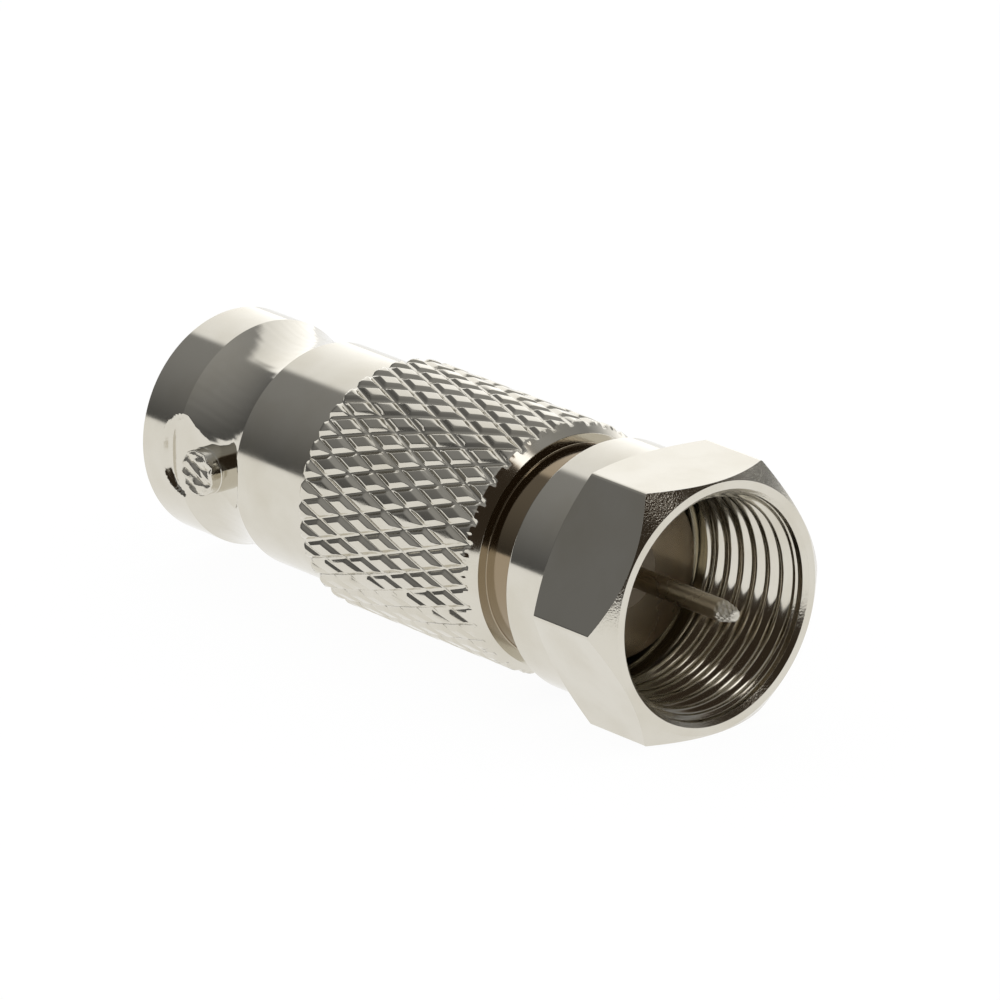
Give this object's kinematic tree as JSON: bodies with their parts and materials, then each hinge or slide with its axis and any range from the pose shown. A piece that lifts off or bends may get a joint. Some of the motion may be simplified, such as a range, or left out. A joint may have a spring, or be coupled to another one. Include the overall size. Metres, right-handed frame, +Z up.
{
  "type": "f connector adapter",
  "caption": "Coaxial adapter with a bayonet jack at one end and a threaded pin plug with a turning hexagon nut at the other.",
  "frame": {"origin": "on the adapter's axis, in the plane of the coupling nut's mouth, where the centre pin passes it", "axes": "+X along the axis, out of the coupling nut's mouth; +Z up, square to a nut flat; the lugs point to +Y and -Y"},
  "size_m": [0.0314, 0.0122, 0.0106],
  "materials": {
    "nickel_plate": "polished",
    "ferrule_metal": "satin",
    "contact_metal": "polished",
    "jack_dielectric": "matte",
    "plug_dielectric": "satin"
  },
  "bodies": {
    "adapter": {"adapter_body": "nickel_plate", "nut_ferrule": "ferrule_metal", "jack_insulator": "jack_dielectric", "plug_insulator": "plug_dielectric", "jack_contact": "contact_metal", "centre_pin": "contact_metal"},
    "nut": {"coupling_nut": "nickel_plate"}
  },
  "joints": [
    {"name": "nut_spin", "type": "hinge", "parent": "adapter", "child": "nut", "pos_m": [-0.0064, 0, 0], "axis": [1, 0, 0], "continuous": true}
  ]
}
